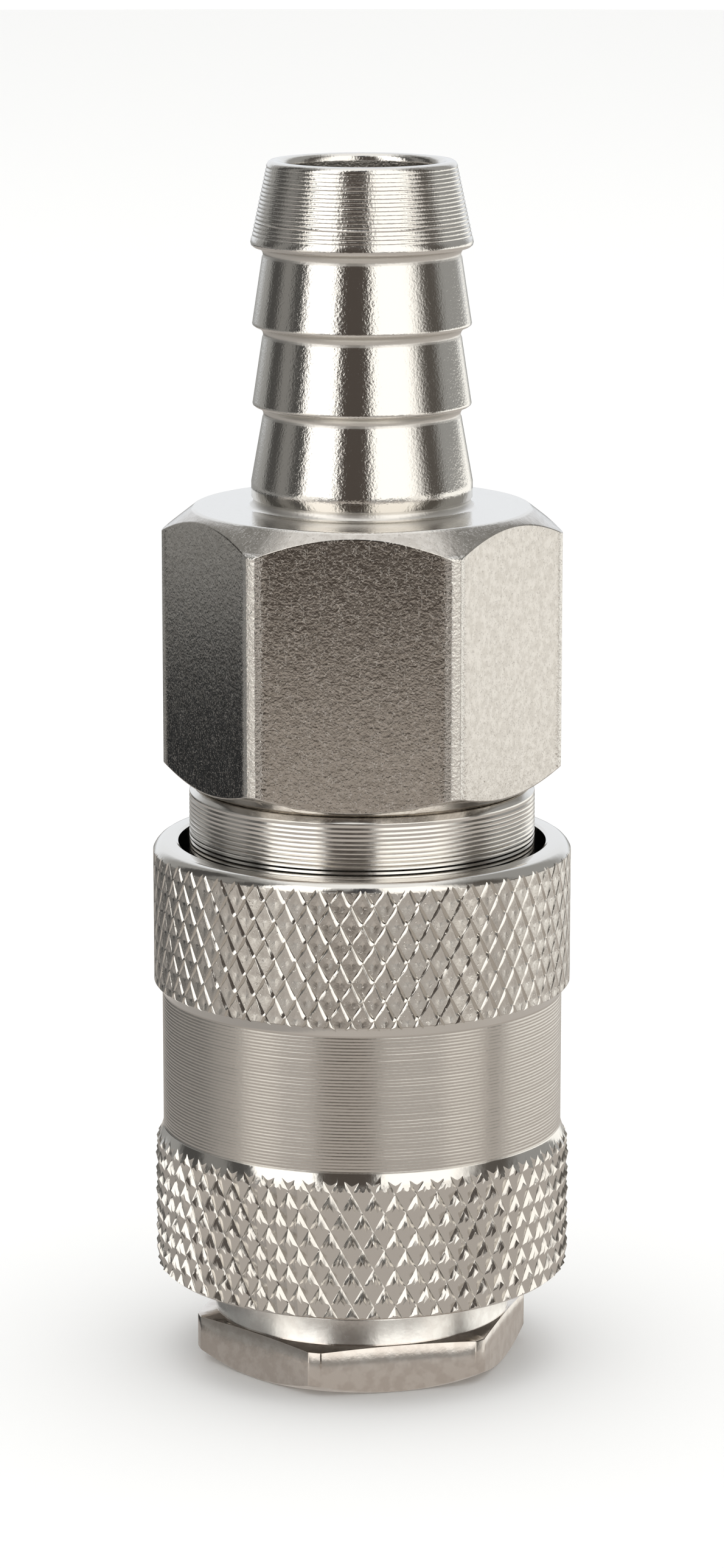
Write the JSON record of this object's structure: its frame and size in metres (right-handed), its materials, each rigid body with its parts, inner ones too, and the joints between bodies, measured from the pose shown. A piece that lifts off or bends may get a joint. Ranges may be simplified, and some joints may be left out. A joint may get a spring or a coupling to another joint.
{
  "type": "quick disconnect coupler",
  "caption": "Ball-locking quick disconnect coupler for an air or fluid line: valved socket with a knurled sleeve and a barbed hose tail, joined to a threaded plug.",
  "frame": {"origin": "centre of the plug's bottom face, where the thread's mouth is", "axes": "+Z along the common axis from the plug to the hose tail; a flat of the socket's hexagon faces -Y"},
  "size_m": [0.0264, 0.0264, 0.0763],
  "materials": {
    "polished_nickel": "nickel-plated brass, polished barbs and satin hexagon",
    "turned_nickel": "nickel-plated brass, turned",
    "satin_nickel": "nickel-plated brass, satin turned band between knurled bands",
    "plug_nickel": "nickel-plated brass, satin",
    "plain_brass": "turned, unplated",
    "spring_steel": "drawn stainless spring wire",
    "ball_steel": "polished bearing steel",
    "seal_rubber": "black nitrile, matt"
  },
  "bodies": {
    "plug": {"plug": "plug_nickel"},
    "plug_seal": {"plug_o_ring": "seal_rubber"},
    "socket": {"socket_body": "turned_nickel", "hose_adaptor": "polished_nickel", "adaptor_o_ring": "seal_rubber", "valve_guide": "plain_brass", "valve_spring": "spring_steel", "sleeve_snap_ring": "spring_steel"},
    "valve": {"valve_poppet": "plain_brass", "valve_seal": "seal_rubber"},
    "sleeve_spring": {"sleeve_spring": "spring_steel"},
    "sleeve": {"locking_sleeve": "satin_nickel"},
    "ball_1": {"locking_ball_1": "ball_steel"},
    "ball_2": {"locking_ball_2": "ball_steel"},
    "ball_3": {"locking_ball_3": "ball_steel"},
    "ball_4": {"locking_ball_4": "ball_steel"},
    "ball_5": {"locking_ball_5": "ball_steel"},
    "ball_6": {"locking_ball_6": "ball_steel"},
    "ball_7": {"locking_ball_7": "ball_steel"},
    "ball_8": {"locking_ball_8": "ball_steel"}
  },
  "joints": [
    {"name": "plug_release", "type": "slide", "parent": "plug", "child": "plug_seal", "axis": [0, 0, 1], "range_m": [0, 0.0014]},
    {"name": "socket_swivel", "type": "hinge", "parent": "plug_seal", "child": "socket", "pos_m": [0, 0, 0.0127], "axis": [0, 0, 1], "continuous": true},
    {"name": "valve_close", "type": "slide", "parent": "socket", "child": "valve", "axis": [0, 0, -1], "range_m": [0, 0.0014], "deforming": ["valve_spring"]},
    {"name": "sleeve_spin", "type": "hinge", "parent": "socket", "child": "sleeve_spring", "pos_m": [0, 0, 0.02], "axis": [0, 0, 1], "continuous": true},
    {"name": "sleeve_slide", "type": "slide", "parent": "sleeve_spring", "child": "sleeve", "axis": [0, 0, 1], "range_m": [0, 0.0032], "stiffness_N_per_m": 2500, "springref_m": -0.0035, "deforming": ["sleeve_spring"]},
    {"name": "ball_1_slide", "type": "slide", "parent": "socket", "child": "ball_1", "axis": [0.9239, 0.3827, 0], "range_m": [0, 0.0008]},
    {"name": "ball_2_slide", "type": "slide", "parent": "socket", "child": "ball_2", "axis": [0.3827, 0.9239, 0], "range_m": [0, 0.0008]},
    {"name": "ball_3_slide", "type": "slide", "parent": "socket", "child": "ball_3", "axis": [-0.3827, 0.9239, 0], "range_m": [0, 0.0008]},
    {"name": "ball_4_slide", "type": "slide", "parent": "socket", "child": "ball_4", "axis": [-0.9239, 0.3827, 0], "range_m": [0, 0.0008]},
    {"name": "ball_5_slide", "type": "slide", "parent": "socket", "child": "ball_5", "axis": [-0.9239, -0.3827, 0], "range_m": [0, 0.0008]},
    {"name": "ball_6_slide", "type": "slide", "parent": "socket", "child": "ball_6", "axis": [-0.3827, -0.9239, 0], "range_m": [0, 0.0008]},
    {"name": "ball_7_slide", "type": "slide", "parent": "socket", "child": "ball_7", "axis": [0.3827, -0.9239, 0], "range_m": [0, 0.0008]},
    {"name": "ball_8_slide", "type": "slide", "parent": "socket", "child": "ball_8", "axis": [0.9239, -0.3827, 0], "range_m": [0, 0.0008]}
  ],
  "couplings": [
    {"joint": "plug_release", "follows": "sleeve_slide", "ratio": 0.4375},
    {"joint": "valve_close", "follows": "sleeve_slide", "ratio": 0.4375},
    {"joint": "ball_1_slide", "follows": "sleeve_slide", "ratio": 0.25},
    {"joint": "ball_2_slide", "follows": "sleeve_slide", "ratio": 0.25},
    {"joint": "ball_3_slide", "follows": "sleeve_slide", "ratio": 0.25},
    {"joint": "ball_4_slide", "follows": "sleeve_slide", "ratio": 0.25},
    {"joint": "ball_5_slide", "follows": "sleeve_slide", "ratio": 0.25},
    {"joint": "ball_6_slide", "follows": "sleeve_slide", "ratio": 0.25},
    {"joint": "ball_7_slide", "follows": "sleeve_slide", "ratio": 0.25},
    {"joint": "ball_8_slide", "follows": "sleeve_slide", "ratio": 0.25}
  ]
}
